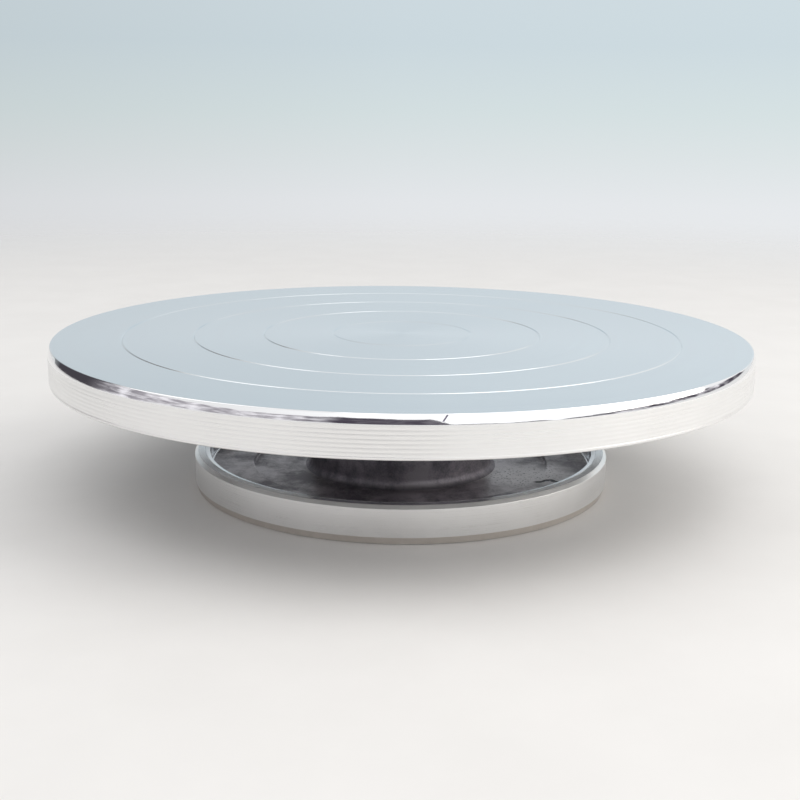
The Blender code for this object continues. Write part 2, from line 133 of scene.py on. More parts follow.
RETAINING_RING_INSIDE = 21.0
SCREW_COUNT = 4
COVER_SCREW_CIRCLE = 31.5
COVER_SCREW_HOLE_TOP = 12.0
FLANGE_SCREW_CIRCLE = 22.0
HEAD_SCREW_HOLE = 2.8
HEAD_SCREW_HOLE_TOP = 62.8
PAD_COUNT = 4
PAD_CIRCLE = 77.0
PAD_RADIUS = 7.0
PAD_TOP = 2.5

# Head radius and shank radius of the countersunk screws, in millimetres
FLANGE_SCREW = (4.8, 2.5)
COVER_SCREW = (3.6, 2.0)

# Columns of faces round a turned piece
LARGE_COLUMNS = 384
MEDIUM_COLUMNS = 128
PAD_COLUMNS = 96
SMALL_COLUMNS = 48


# ---------------------------------------------------------------- node helpers

def node(tree, kind, inputs=None, **settings):
    """Add a shader node, set its properties, and set or link its inputs."""
    made = tree.nodes.new("ShaderNode" + kind)
    for key, value in settings.items():
        setattr(made, key, value)
    for key, value in (inputs or {}).items():
        if isinstance(value, bpy.types.NodeSocket):
            tree.links.new(value, made.inputs[key])
        else:
            made.inputs[key].default_value = value
    return made


def calc(tree, operation, *values):
    return node(tree, "Math", dict(enumerate(values)), operation=operation).outputs[0]


def span(tree, value, start, end, **settings):
    """0 to 1 as a value goes from start to end, and level beyond them."""
    return node(tree, "MapRange", {0: value, 1: start, 2: end}, **settings).outputs[0]


def ramp(tree, factor, *stops):
    """A colour ramp from (position, colour) stops; a colour may be a single grey value."""
    made = node(tree, "ValToRGB", {"Fac": factor})
    elements = made.color_ramp.elements
    while len(elements) < len(stops):
        elements.new(0.5)
    for element, (position, colour) in zip(elements, stops):
        element.position = position
        grey = (colour,) * 3 if isinstance(colour, (int, float)) else colour
        element.color = (*grey, 1.0)
    return made.outputs["Color"]


def blend(tree, factor, a, b):
    """Mix two colours; either may be a plain value."""
    made = node(tree, "Mix", {"Factor": factor}, data_type="RGBA")
    for socket, value in ((made.inputs[6], a), (made.inputs[7], b)):
        if isinstance(value, bpy.types.NodeSocket):
            tree.links.new(value, socket)
        else:
            socket.default_value = (*value, 1.0)
    return made.outputs[2]


def noise(tree, vector, scale, detail, roughness):
    inputs = {"Vector": vector, "Scale": scale, "Detail": detail, "Roughness": roughness}
    return node(tree, "TexNoise", inputs).outputs["Fac"]


class Finish:
    """A Principled material with the piece's own coordinates in millimetres at hand."""

    def __init__(self, name, metallic=1.0):
        self.material = bpy.data.materials.new(name)
        self.material.use_nodes = True
        self.tree = self.material.node_tree
        self.shader = self.tree.nodes["Principled BSDF"]
        self.set("Metallic", metallic)
        coordinates = node(self.tree, "TexCoord").outputs["Object"]
        scaled = node(self.tree, "VectorMath", {0: coordinates, "Scale": 1 / MM}, operation="SCALE")
        self.place = scaled.outputs["Vector"]
        split = node(self.tree, "SeparateXYZ", {0: self.place})
        self.x, self.y, self.height = split.outputs
        squares = [calc(self.tree, "MULTIPLY", v, v) for v in (self.x, self.y)]
        self.radius = calc(self.tree, "SQRT", calc(self.tree, "ADD", *squares))

    def set(self, socket, value):
        target = self.shader.inputs[socket]
        if isinstance(value, bpy.types.NodeSocket):
            self.tree.links.new(value, target)
        else:
            target.default_value = value

    def bump(self, height, depth_mm):
        """Raise the surface by a height of 0 to 1 times the depth; calls add up."""
        before = self.shader.inputs["Normal"]
        made = node(self.tree, "Bump", {"Distance": depth_mm * MM, "Height": height})
        if before.is_linked:
            self.tree.links.new(before.links[0].from_socket, made.inputs["Normal"])
        self.tree.links.new(made.outputs["Normal"], before)

    def brushed(self, anisotropy):
        """Stretch the highlights across the lathe's marks, which run round the turning axis."""
        quarter_turn = 0.25
        self.set("Anisotropic", anisotropy)
        self.set("Anisotropic Rotation", quarter_turn)
        tangent = node(self.tree, "Tangent", direction_type="RADIAL", axis="Z")
        self.set("Tangent", tangent.outputs["Tangent"])

    def lines(self, along, per_mm, detail=3.0):
        """Lathe marks: noise along one coordinate, the same all the way round."""
        inputs = {"W": along, "Scale": per_mm, "Detail": detail, "Roughness": 0.6}
        return node(self.tree, "TexNoise", inputs, noise_dimensions="1D").outputs["Fac"]

    def grain(self, per_mm, detail=3.0, roughness=0.55):
        return noise(self.tree, self.place, per_mm, detail, roughness)

    def spot(self, centre, inner, outer, ragged):
        """1 within a small patch round a place in millimetres, with a ragged outline, else 0."""
        raggedness = 1.2
        apart = node(self.tree, "VectorMath", {0: self.place, 1: centre}, operation="DISTANCE")
        uneven = calc(self.tree, "MULTIPLY_ADD", ragged, raggedness, -raggedness / 2)
        reach = calc(self.tree, "ADD", apart.outputs["Value"], uneven)
        return span(self.tree, reach, outer, inner, interpolation_type="SMOOTHSTEP")

    def slanting_scratch(self, x, height, lean, reach):
        """1 along one short scratch on the front of a rim, which leans by lean mm for each mm up."""
        tree = self.tree
        up = calc(tree, "SUBTRACT", self.height, height)
        aside = calc(tree, "SUBTRACT", calc(tree, "SUBTRACT", self.x, x), calc(tree, "MULTIPLY", up, lean))
        thin = span(tree, calc(tree, "ABSOLUTE", aside), 0.40, 0.15)
        tall = span(tree, calc(tree, "ABSOLUTE", up), reach, 0.8 * reach)
        front = calc(tree, "LESS_THAN", self.y, 0.0)
        return calc(tree, "MULTIPLY", calc(tree, "MULTIPLY", thin, tall), front)


# ---------------------------------------------------------------- finishes

def turned_top():
    """The work face: fine concentric marks, satin and very even."""
    finish = Finish("turned_top")
    fine = finish.lines(finish.radius, 2.6)
    middling = finish.lines(finish.radius, 0.45)
    broad = finish.lines(finish.radius, 0.09, 2.0)
    smudge = finish.grain(0.012)
    mixed = blend(finish.tree, 0.4, blend(finish.tree, 0.5, fine, broad), middling)
    tone = blend(finish.tree, 0.35, mixed, smudge)
    finish.set("Base Color", ramp(
        finish.tree, tone, (0.40, (0.84, 0.865, 0.885)), (0.60, (0.90, 0.925, 0.94))))
    finish.set("Roughness", ramp(finish.tree, tone, (0.40, 0.18), (0.60, 0.25)))
    finish.bump(middling, 0.004)
    finish.bump(fine, 0.0022)
    finish.brushed(0.45)
    return finish.material


def polished_edge():
    """The buffed edge: a mirror with the long, slight waves of hand buffing, and one scratch."""
    finish = Finish("polished_edge")
    waves = finish.grain(0.045, 2.0)
    haze = finish.grain(0.5)
    finish.bump(waves, 0.10)
    finish.set("Roughness", ramp(finish.tree, haze, (0.35, 0.035), (0.75, 0.085)))
    scratch = finish.slanting_scratch(x=14.3, height=HEAD_TOP - 1.4, lean=0.7, reach=1.2)
    bright, scored = (0.94, 0.945, 0.96), (0.12, 0.10, 0.16)
    finish.set("Base Color", blend(finish.tree, scratch, bright, scored))
    finish.bump(scratch, -0.1)
    return finish.material


def machined_rim():
    """The rim's side: bright, with rings left by the cutting tool's feed."""
    finish = Finish("machined_rim")
    fine = finish.lines(finish.height, 5.0)
    patches = finish.grain(0.05)
    tone = blend(finish.tree, 0.35, fine, patches)
    finish.set("Base Color", ramp(
        finish.tree, tone, (0.30, (0.86, 0.86, 0.855)), (0.70, (0.93, 0.93, 0.925))))
    finish.set("Roughness", ramp(finish.tree, tone, (0.30, 0.26), (0.70, 0.34)))
    finish.bump(fine, 0.003)
    finish.brushed(0.5)
    return finish.material


def painted_light_and_pits(finish, colour, centre, mottle):
    """Add a painted patch of light, paler than the casting round it, with small real dark pits in it."""
    tree = finish.tree
    painted_light = finish.spot(centre, inner=8.0, outer=26.0, ragged=mottle)
    # Painted light: the patch is lightened towards a pale grey.
    colour = blend(tree, calc(tree, "MULTIPLY", painted_light, 0.8), colour, (0.84, 0.82, 0.83))
    holes = span(tree, finish.grain(0.9, 2.0), 0.60, 0.66)
    pits = calc(tree, "MULTIPLY", painted_light, holes)
    finish.bump(pits, -0.2)
    return blend(tree, pits, colour, (0.08, 0.08, 0.085))


def dark_seam(finish, colour, place):
    """Add a short wandering seam, where the metal met itself in the mould and didn't fuse."""
    tree = finish.tree
    x, y = place
    half_length, half_width = 7.0, 1.9
    swing, turns, raggedness = 1.6, 0.6, 4.0
    along = calc(tree, "SUBTRACT", finish.x, x)
    wave = calc(tree, "MULTIPLY", calc(tree, "COSINE", calc(tree, "MULTIPLY", along, turns)), swing)
    ragged = calc(tree, "MULTIPLY_ADD", finish.grain(0.35, 2.0), raggedness, -raggedness / 2)
    across = calc(tree, "SUBTRACT", calc(tree, "SUBTRACT", finish.y, y), wave)
    across = calc(tree, "ABSOLUTE", calc(tree, "ADD", across, ragged))
    near = span(tree, across, half_width, half_width - 0.8)
    within = span(tree, calc(tree, "ABSOLUTE", along), half_length, half_length - 1.5)
    seam = calc(tree, "MULTIPLY", near, within)
    finish.bump(seam, -0.3)
    return blend(tree, seam, colour, (0.02, 0.02, 0.025))


def cast_skin(name, dark, light, roughness=0.45, painted_light_centre=None, cold_shut=None):
    """Aluminium as it leaves the mould: stained, with a pebbled skin.

    The patch centre is the middle of a painted patch of light with real pits in it, and cold_shut the
    place of a dark seam.
    """
    finish = Finish(name)
    tree = finish.tree
    pebbles = finish.grain(1.3, 4.0)
    mottle = finish.grain(0.07, 5.0, 0.66)
    tone = blend(tree, 0.22, mottle, pebbles)
    colour = ramp(tree, tone, (0.41, dark), (0.59, light))
    finish.bump(pebbles, 0.12)
    if painted_light_centre:
        colour = painted_light_and_pits(finish, colour, painted_light_centre, mottle)
    if cold_shut:
        colour = dark_seam(finish, colour, cold_shut)
    finish.set("Base Color", colour)
    finish.set("Roughness", ramp(
        tree, tone, (0.30, roughness + 0.10), (0.70, roughness - 0.07)))
    return finish.material


def turned_metal(name, dark, light, roughness, along="radius", per_mm=5.0, anisotropy=0.6):
    """Any lathe-turned or ground metal: marks along the radius or the height."""
    finish = Finish(name)
    coordinate = finish.radius if along == "radius" else finish.height
    fine = finish.lines(coordinate, per_mm)
    patches = finish.grain(0.15)
    tone = blend(finish.tree, 0.4, fine, patches)
    finish.set("Base Color", ramp(finish.tree, tone, (0.30, dark), (0.70, light)))
    finish.set("Roughness", ramp(
        finish.tree, tone, (0.30, roughness), (0.70, roughness + 0.08)))
    finish.bump(fine, 0.005)
    finish.brushed(anisotropy)
    return finish.material


def plated_sheet():
    """Zinc plate: a pale metal with a faint crystal bloom, from bluish to yellowish."""
    finish = Finish("zinc_plate")
    crystals = node(finish.tree, "TexVoronoi", {"Vector": finish.place, "Scale": 0.35})
    bloom = finish.grain(0.08, 4.0)
    tone = blend(finish.tree, 0.5, crystals.outputs["Color"], bloom)
    finish.set("Base Color", ramp(
        finish.tree, tone, (0.25, (0.58, 0.60, 0.62)), (0.5, (0.64, 0.65, 0.66)),
        (0.8, (0.69, 0.69, 0.67))))
    finish.set("Roughness", ramp(finish.tree, tone, (0.25, 0.26), (0.80, 0.40)))
    finish.bump(finish.grain(1.8, 2.0), 0.01)
    return finish.material


def blackened_steel(name):
    """Oiled black steel with a worn sheen."""
    finish = Finish(name)
    worn = finish.grain(0.7, 4.0)
    finish.set("Base Color", ramp(
        finish.tree, worn, (0.35, (0.055, 0.055, 0.06)), (0.75, (0.20, 0.20, 0.21))))
    finish.set("Roughness", ramp(finish.tree, worn, (0.35, 0.42), (0.75, 0.26)))
    finish.bump(finish.grain(5.0, 2.0), 0.008)
    return finish.material


def natural_nylon():
    """Uncoloured nylon: a cloudy ivory with a slightly grained skin."""
    finish = Finish("natural_nylon", metallic=0.0)
    cloud = finish.grain(0.25)
    finish.set("Base Color", ramp(
        finish.tree, cloud, (0.3, (0.56, 0.50, 0.36)), (0.7, (0.68, 0.62, 0.48))))
    finish.set("Roughness", ramp(finish.tree, cloud, (0.3, 0.42), (0.7, 0.55)))
    finish.bump(finish.grain(4.0, 2.0), 0.01)
    return finish.material


def moulded_rubber():
    """Black rubber with a little dust in its grain."""
    finish = Finish("moulded_rubber", metallic=0.0)
    dust = finish.grain(0.5, 4.0)
    finish.set("Base Color", ramp(
        finish.tree, dust, (0.35, (0.018, 0.018, 0.018)), (0.75, (0.055, 0.053, 0.05))))
    finish.set("Roughness", ramp(finish.tree, dust, (0.35, 0.70), (0.75, 0.88)))
    finish.bump(finish.grain(6.0, 2.0), 0.03)
    return finish.material


TURNED_TOP = turned_top()
POLISHED_EDGE = polished_edge()
MACHINED_RIM = machined_rim()
HEAD_CAST = cast_skin("head_cast", (0.42, 0.42, 0.43), (0.56, 0.56, 0.56))
# The dish floor: the pale patch at its front right is a painted patch of light; the dark seam is a casting
# flaw.
BASE_CAST = cast_skin(
    "base_cast", (0.22, 0.205, 0.225), (0.58, 0.55, 0.57), 0.38,
    painted_light_centre=(54.0, -20.0, 8.0), cold_shut=(63.0, -33.0))
# The pedestal is part of the same casting as the dish; its darker copy of the cast skin is painted shade
# for the deep shade under the head.
PEDESTAL_PAINTED_SHADE = cast_skin("pedestal_painted_shade", (0.17, 0.16, 0.185), (0.34, 0.32, 0.35), 0.52)
# The foot of the wall: a darker, brownish copy of the turned metal, painted shade where the wall meets the
# floor.
FOOT_PAINTED_SHADE = turned_metal("foot_painted_shade", (0.60, 0.56, 0.52), (0.76, 0.72, 0.68), 0.36, "height")
MACHINED_FACE = turned_metal("machined_face", (0.62, 0.62, 0.63), (0.74, 0.74, 0.74), 0.30)
RIM_LAND = turned_metal("rim_land", (0.66, 0.67, 0.69), (0.80, 0.81, 0.82), 0.16)
RIM_INSIDE = turned_metal("rim_inside", (0.60, 0.61, 0.63), (0.76, 0.77, 0.79), 0.09, "height", 1.2)
SPINDLE_STEEL = turned_metal(
    "spindle_steel", (0.40, 0.39, 0.38), (0.52, 0.51, 0.50), 0.28, "height")
BEARING_STEEL = turned_metal(
    "bearing_steel", (0.60, 0.60, 0.61), (0.70, 0.70, 0.70), 0.10, "height", 8.0, 0.4)
SHIELD_STEEL = turned_metal(
    "shield_steel", (0.58, 0.57, 0.54), (0.70, 0.69, 0.66), 0.26, "radius", 4.0, 0.5)
ZINC_PLATE = plated_sheet()
SPRING_STEEL = blackened_steel("spring_steel")
SCREW_STEEL = blackened_steel("screw_steel")
CAGE_NYLON = natural_nylon()
PAD_RUBBER = moulded_rubber()


# ---------------------------------------------------------------- turned geometry

ON_AXIS = 1e-6                      # a smaller radius than this, in millimetres, counts as none
SHARP_ANGLE = math.radians(32)      # edges that turn by more than this stay crisp


def unit(vector):
    return vector / (np.linalg.norm(vector) or 1.0)


def rounded(points, closed=False, pieces=5):
    """Outline rows from (radius, height, corner radius) points.

    Each corner becomes an arc with a thin row on both sides, which keeps the faces beside it flat.
    """
    thin_row = 0.25
    places = [np.array(point[:2], float) for point in points]
    rows = []
    for index, point in enumerate(points):
        corner = point[2] if len(point) > 2 else 0.0
        inner = closed or 0 < index < len(points) - 1
        here = places[index]
        if not inner or corner == 0.0:
            rows.append(here)
            continue
        before = unit(places[index - 1] - here)
        after = unit(places[(index + 1) % len(points)] - here)
        half = math.acos(np.clip(before @ after, -1, 1)) / 2
        reach = corner / math.tan(half)
        centre = here + unit(before + after) * corner / math.sin(half)
        start, end = here + before * reach, here + after * reach
        rows.append(start + before * thin_row * corner)
        first = math.atan2(*(start - centre)[::-1])
        sweep = math.remainder(math.atan2(*(end - centre)[::-1]) - first, math.tau)
        for step in range(pieces + 1):
            angle = first + sweep * step / pieces
            rows.append(centre + corner * np.array([math.cos(angle), math.sin(angle)]))
        rows.append(end + after * thin_row * corner)
    return rows


def even_angles(columns):
    """Column angles that are the same at every radius."""
    spread = np.arange(columns) * math.tau / columns
    return lambda radius: spread


def lathe(name, rows, finishes, columns, closed=False, angles=None, pick=None):
    """A turned mesh from outline rows. pick(row) gives the finish of the band below a row."""
    angles = angles or even_angles(columns)
    points, starts = [], []
    for radius, height in rows:
        starts.append(len(points))
        if radius < ON_AXIS:
            points.append((0.0, 0.0, height * MM))
            continue
        for angle in angles(radius):
            points.append((
                radius * MM * math.cos(angle), radius * MM * math.sin(angle), height * MM))
    faces, slots = [], []
    bands = len(rows) if closed else len(rows) - 1
    for band in range(bands):
        below = (band + 1) % len(rows)
        upper, lower = starts[band], starts[below]
        upper_point = rows[band][0] < ON_AXIS
        lower_point = rows[below][0] < ON_AXIS
        for column in range(columns):
            beside = (column + 1) % columns
            if upper_point:
                faces.append((upper, lower + column, lower + beside))
            elif lower_point:
                faces.append((upper + column, lower, upper + beside))
            else:
                faces.append((upper + column, lower + column, lower + beside, upper + beside))
            slots.append(pick(band) if pick else 0)
    mesh = bpy.data.meshes.new(name)
    mesh.from_pydata(points, [], faces)
    for finish in finishes:
        mesh.materials.append(finish)
    mesh.polygons.foreach_set("material_index", slots)
    mesh.update()
    return mesh


def smooth(mesh):
    mesh.shade_smooth()
    mesh.set_sharp_from_angle(angle=SHARP_ANGLE)


def add_object(name, mesh):
    thing = bpy.data.objects.new(name, mesh)
    bpy.context.scene.collection.objects.link(thing)
    return thing


def body_of_node(name):
    for body, nodes in frame["record"]["behaviour"]["bodies"].items():
        if name in nodes:
            return body
    raise ValueError(name)


def stand_in(thing, replaced):
    """Put a finely made piece in place of its plain solid, on the same body."""
    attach(thing, body_of_node(replaced))
    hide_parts(replaced)
    return thing


def cut(thing, tools):
    """Cut closed tool meshes out of a piece and apply the cut."""
    for tool in tools:
        boolean = thing.modifiers.new("cut", "BOOLEAN")
        boolean.operation = "DIFFERENCE"
        boolean.object = tool
        boolean.solver = "EXACT"
    evaluated = thing.evaluated_get(bpy.context.evaluated_depsgraph_get())
    mesh = bpy.data.meshes.new_from_object(evaluated)
    thing.modifiers.clear()
    thing.data = mesh
    for tool in tools:
        bpy.data.objects.remove(tool, do_unlink=True)
    smooth(thing.data)


def tool_rod(rows, at):
    """A turned cutting tool that stands at an (x, y) place in millimetres."""
    tool = add_object("tool", lathe("tool", rows, [], SMALL_COLUMNS))
    tool.location = Vector((*at, 0)) * MM
    return tool


def hole_tool(radius, top, bottom, at):
    return tool_rod([(0, top), (radius, top), (radius, bottom), (0, bottom)], at)


def on_circle(radius, count, turned_by=0.0):
    """(x, y) places spread evenly round a circle."""
    angles = [math.tau * index / count + turned_by for index in range(count)]
    return [(radius * math.cos(angle), radius * math.sin(angle)) for angle in angles]


# ---------------------------------------------------------------- work head

RIB_HALF = 2.5          # half the thickness of a rib
RIB_ROOT = 2.5          # radius of the fillet at its root
RIB_EDGE = 0.8          # radius of its rounded edge
RIB_DRAFT = 0.15        # how much wider each side stands at the root

# Columns of the head: beside each rib at these distances from its middle, parallel to it from a
# radius outwards, and evenly spread over the bays between the ribs
RIB_OFFSETS = (0.0, 1.0, 1.7, 2.1, 2.35, 2.5, 2.65, 2.75, 3.0, 3.5, 4.3, 5.3)
RIB_COLUMNS_START = 24.0
BAY_COLUMNS = 46
HEAD_COLUMNS = RIB_COUNT * (2 * len(RIB_OFFSETS) - 1 + BAY_COLUMNS)

# Rows across a guide ring, as shares of its half width
GROOVE_SHARES = (-1.25, -1.0, -0.8, -0.45, -0.15, 0.0, 0.15, 0.45, 0.8, 1.0, 1.25)

FEED_PITCH = 1.4
FEED_DEPTH = 0.07
FEED_END = SKIRT_BOTTOM + 1.2
TOP, EDGE, RIM, CAST, FACED = range(5)


def head_angles(radius):
    """Column angles that run parallel to the ribs near them and even out in between."""
    reach = max(radius, RIB_COLUMNS_START)
    near = [math.asin(offset / reach) for offset in RIB_OFFSETS]
    sector = math.tau / RIB_COUNT
    angles = []
    for rib in range(RIB_COUNT):
        middle = rib * sector
        angles += [middle - angle for angle in reversed(near[1:])]
        angles += [middle + angle for angle in near]
        gap = sector - 2 * near[-1]
        angles += [middle + near[-1] + gap * (i + 1) / (BAY_COLUMNS + 1) for i in range(BAY_COLUMNS)]
    return angles


def guide_ring_rows():
    """A V groove for each guide ring; the first is only a scribed line."""
    rows = []
    for ring in range(1, GUIDE_RING_COUNT + 1):
        deepest = FIRST_RING_DEPTH if ring == 1 else GUIDE_RING_DEPTH
        for share in GROOVE_SHARES:
            depth = max(0.0, 1.0 - abs(share)) * deepest
            rows.append((
                ring * GUIDE_RING_PITCH + share * GUIDE_RING_HALF_WIDTH, HEAD_TOP - depth))
    return rows


def edge_rows():
    """The buffed edge: a small round lip, then a face that steepens as it falls to the rim."""
    lip = 0.45
    lip_steps, face_steps = 7, 12
    first_tilt, last_tilt = math.radians(24), math.radians(7)
    height = EDGE_DROP - lip * (1 - math.sin(first_tilt))
    face, across = [], 0.0
    for step in range(face_steps + 1):
        share = step / face_steps
        face.append((across, share * height))
        tilt = first_tilt + (last_tilt - first_tilt) * (share + 0.5 / face_steps)
        across += math.tan(tilt) * height / face_steps
    start = HEAD_RADIUS - face[-1][0]
    top = HEAD_TOP - EDGE_DROP + height
    rows = []
    for step in range(lip_steps):
        turn = (math.pi / 2 - first_tilt) * step / lip_steps
        rows.append((
            start - lip * (math.cos(first_tilt) - math.sin(turn)),
            HEAD_TOP - lip * (1 - math.cos(turn))))
    rows += [(start + out, top - down) for out, down in face[:-1]]
    return rows


def feed_marks(top, bottom):
    """Shallow rings round the rim, where the cutting tool moved down between turns."""
    count = int((top - bottom) / FEED_PITCH)
    step = (top - bottom) / count
    rows = []
    for mark in range(count):
        start = top - mark * step
        rows += [(HEAD_RADIUS, start - share * step) for share in (0.14, 0.5, 0.80)]
        rows.append((HEAD_RADIUS - FEED_DEPTH, start - 0.93 * step))
    return rows


def head_rows():
    """(radius, height, finish of the band that follows) from the centre of the top to the boss.

    Rows across the wide flats keep their faces short, and let the ribs be lowered between them.
    """
    flat_end = HEAD_RADIUS - EDGE_SETBACK - 0.6
    rim_top = HEAD_TOP - EDGE_DROP
    rows = [(radius, HEAD_TOP, TOP) for radius in (0.0, 3.0, 14.0)]
    rows += [(*row, TOP) for row in guide_ring_rows()]
    rows += [(radius, HEAD_TOP, TOP) for radius in (135.0, flat_end)]
    rows += [(*row, EDGE) for row in edge_rows()]
    rows += [(*row, RIM) for row in [(HEAD_RADIUS, rim_top), *feed_marks(rim_top, FEED_END)]]
    below = rounded([
        (HEAD_RADIUS, FEED_END - 0.05),
        (HEAD_RADIUS, SKIRT_BOTTOM, 0.8),
        (SKIRT_INSIDE, SKIRT_BOTTOM, 0.6),
        (SKIRT_INSIDE - 0.5, PLATE_UNDERSIDE, 3.0),
        (120.0, PLATE_UNDERSIDE),
        (90.0, PLATE_UNDERSIDE),
        (60.0, PLATE_UNDERSIDE),
        (BOSS_RADIUS + 0.5, PLATE_UNDERSIDE, 3.0),
        (BOSS_RADIUS, BOSS_BOTTOM, 0.6),
        (FLANGE_RADIUS + GAP, BOSS_BOTTOM, 0.3),
        (FLANGE_RADIUS + GAP, FLANGE_TOP + GAP, 0.3),
        (12.0, FLANGE_TOP + GAP),
        (0.0, FLANGE_TOP + GAP),
    ], pieces=6)
    for radius, height in below:
        faced = radius < BOSS_RADIUS - 0.7
        outside = radius > SKIRT_INSIDE + 0.7
        rows.append((radius, height, RIM if outside else FACED if faced else CAST))
    return rows


def rib_depth(radius, offset):
    """How far a rib stands below the plate at a distance from its centre line."""
    share = (radius - BOSS_RADIUS) / (SKIRT_INSIDE - BOSS_RADIUS)
    depth = RIB_DROP_INNER + (RIB_DROP_OUTER - RIB_DROP_INNER) * share
    flat = RIB_HALF - RIB_EDGE
    root = RIB_HALF + RIB_DRAFT
    if offset <= flat:
        return depth
    if offset <= RIB_HALF:
        return depth - RIB_EDGE + math.sqrt(max(RIB_EDGE**2 - (offset - flat) ** 2, 0))
    if offset <= root:
        share = (offset - RIB_HALF) / RIB_DRAFT
        return depth - RIB_EDGE + (RIB_ROOT - depth + RIB_EDGE) * share
    if offset <= root + RIB_ROOT:
        return RIB_ROOT - math.sqrt(max(RIB_ROOT**2 - (root + RIB_ROOT - offset) ** 2, 0))
    return 0.0


def add_ribs(mesh, rows):
    """Lower the cast underside where the ribs run, with soft roots at the skirt and the boss."""
    merge = 1.2     # how gently a rib runs into the fillets, in millimetres
    counts = [1 if radius < ON_AXIS else HEAD_COLUMNS for radius, _, _ in rows]
    starts = np.concatenate([[0], np.cumsum(counts)])
    for index, (radius, height, finish) in enumerate(rows):
        if finish != CAST or not BOSS_RADIUS < radius < SKIRT_INSIDE:
            continue
        for column in range(HEAD_COLUMNS):
            vertex = mesh.vertices[int(starts[index]) + column]
            angle = math.atan2(vertex.co.y, vertex.co.x)
            nearest = round(angle / (math.tau / RIB_COUNT)) * math.tau / RIB_COUNT
            offset = abs(radius * math.sin(angle - nearest))
            depth = PLATE_UNDERSIDE - height
            rib = rib_depth(radius, offset)
            near = max(merge - abs(depth - rib), 0) / merge
            soft = near * near * merge / 4 if rib > 0 else 0.0
            vertex.co.z = (PLATE_UNDERSIDE - max(depth, rib) - soft) * MM


def build_head():
    rows = head_rows()
    finishes = [TURNED_TOP, POLISHED_EDGE, MACHINED_RIM, HEAD_CAST, MACHINED_FACE]
    mesh = lathe(
        "wheel_head_turned", [row[:2] for row in rows], finishes, HEAD_COLUMNS,
        angles=head_angles, pick=lambda band: rows[band][2])
    add_ribs(mesh, rows)
    smooth(mesh)
    head = add_object("wheel_head_turned", mesh)
    cut(head, [
        hole_tool(HEAD_SCREW_HOLE, HEAD_SCREW_HOLE_TOP, BOSS_BOTTOM, at)
        for at in on_circle(FLANGE_SCREW_CIRCLE, SCREW_COUNT, math.pi / SCREW_COUNT)])
    stand_in(head, "wheel_head")


# ---------------------------------------------------------------- base

LAND_LINE = DISH_RADIUS + 2.5       # a fine line turned into the rim's land
WALL, LAND, INSIDE, FLOOR, PEDESTAL, FOOT, UNDER = range(7)


def base_points():
    """The casting's section: down the outer wall, in below, up the bore and out across the dish.

    A point partway across the recess and the dish keeps the faces there short.
    """
    bore = BEARING_OUTER + GAP
    return [
        (BASE_RADIUS, RIM_TOP - RIM_BEVEL, 0.25),
        (BASE_RADIUS, WALL_FOOT, 0.4),
        (BASE_RADIUS - FOOT_SETBACK, BASE_BOTTOM, 0.3),
        (RECESS_RADIUS + 1.0, BASE_BOTTOM, 0.3),
        (RECESS_RADIUS, RECESS_TOP, 0.3),
        (45.0, RECESS_TOP),
        (bore, RECESS_TOP, 0.2),
        (bore, RING_GROOVE_BOTTOM),
        (RING_GROOVE_RADIUS, RING_GROOVE_BOTTOM),
        (RING_GROOVE_RADIUS, RING_GROOVE_TOP),
        (bore, RING_GROOVE_TOP),
        (bore, BORE_LIP_BOTTOM),
        (BORE_LIP_RADIUS, BORE_LIP_BOTTOM, 0.2),
        (BORE_LIP_RADIUS, BORE_LIP_TOP, 0.2),
        (bore, BORE_LIP_TOP),
        (bore, PEDESTAL_TOP, 0.4),
        (PEDESTAL_RADIUS, PEDESTAL_TOP, 1.0),
        (PEDESTAL_RADIUS, DISH_FLOOR, PEDESTAL_FILLET),
        (55.0, DISH_FLOOR),
        (LEDGE_RADIUS, DISH_FLOOR, 0.7),
        (LEDGE_RADIUS, LEDGE_TOP, 0.4),
        (DISH_RADIUS, LEDGE_TOP, 0.8),
        (DISH_RADIUS, RIM_TOP - RIM_BEVEL, 0.4),
        (DISH_RADIUS + 0.5, RIM_TOP - 0.45, 0.3),
        (LAND_LINE - 0.2, RIM_TOP - 0.05, 0.1),
        (LAND_LINE, RIM_TOP - 0.3, 0.05),
        (LAND_LINE + 0.2, RIM_TOP, 0.1),
        (BASE_RADIUS - RIM_BEVEL, RIM_TOP, 0.25),
    ]


def base_finish(radius, height):
    """Which finish the band that follows a row of the base has."""
    dish_side = 5.0     # the dish and the pedestal lie above this height, the recess below it
    if radius > BASE_RADIUS - FOOT_SETBACK - 0.2 and BASE_BOTTOM < height < WALL_FOOT + 0.05:
        return FOOT
    if radius > BASE_RADIUS - RIM_BEVEL - 0.2 and height > BASE_BOTTOM + 0.3:
        return WALL
    if radius > DISH_RADIUS + 0.2 and height > LEDGE_TOP + 0.6:
        return LAND
    if radius > DISH_RADIUS - 0.9 and height > LEDGE_TOP - 0.1:
        return INSIDE
    if radius > PEDESTAL_RADIUS + 2.0 and height > dish_side:
        return FLOOR
    if radius > PEDESTAL_RADIUS - 0.5 and height > dish_side:
        return PEDESTAL
    return UNDER


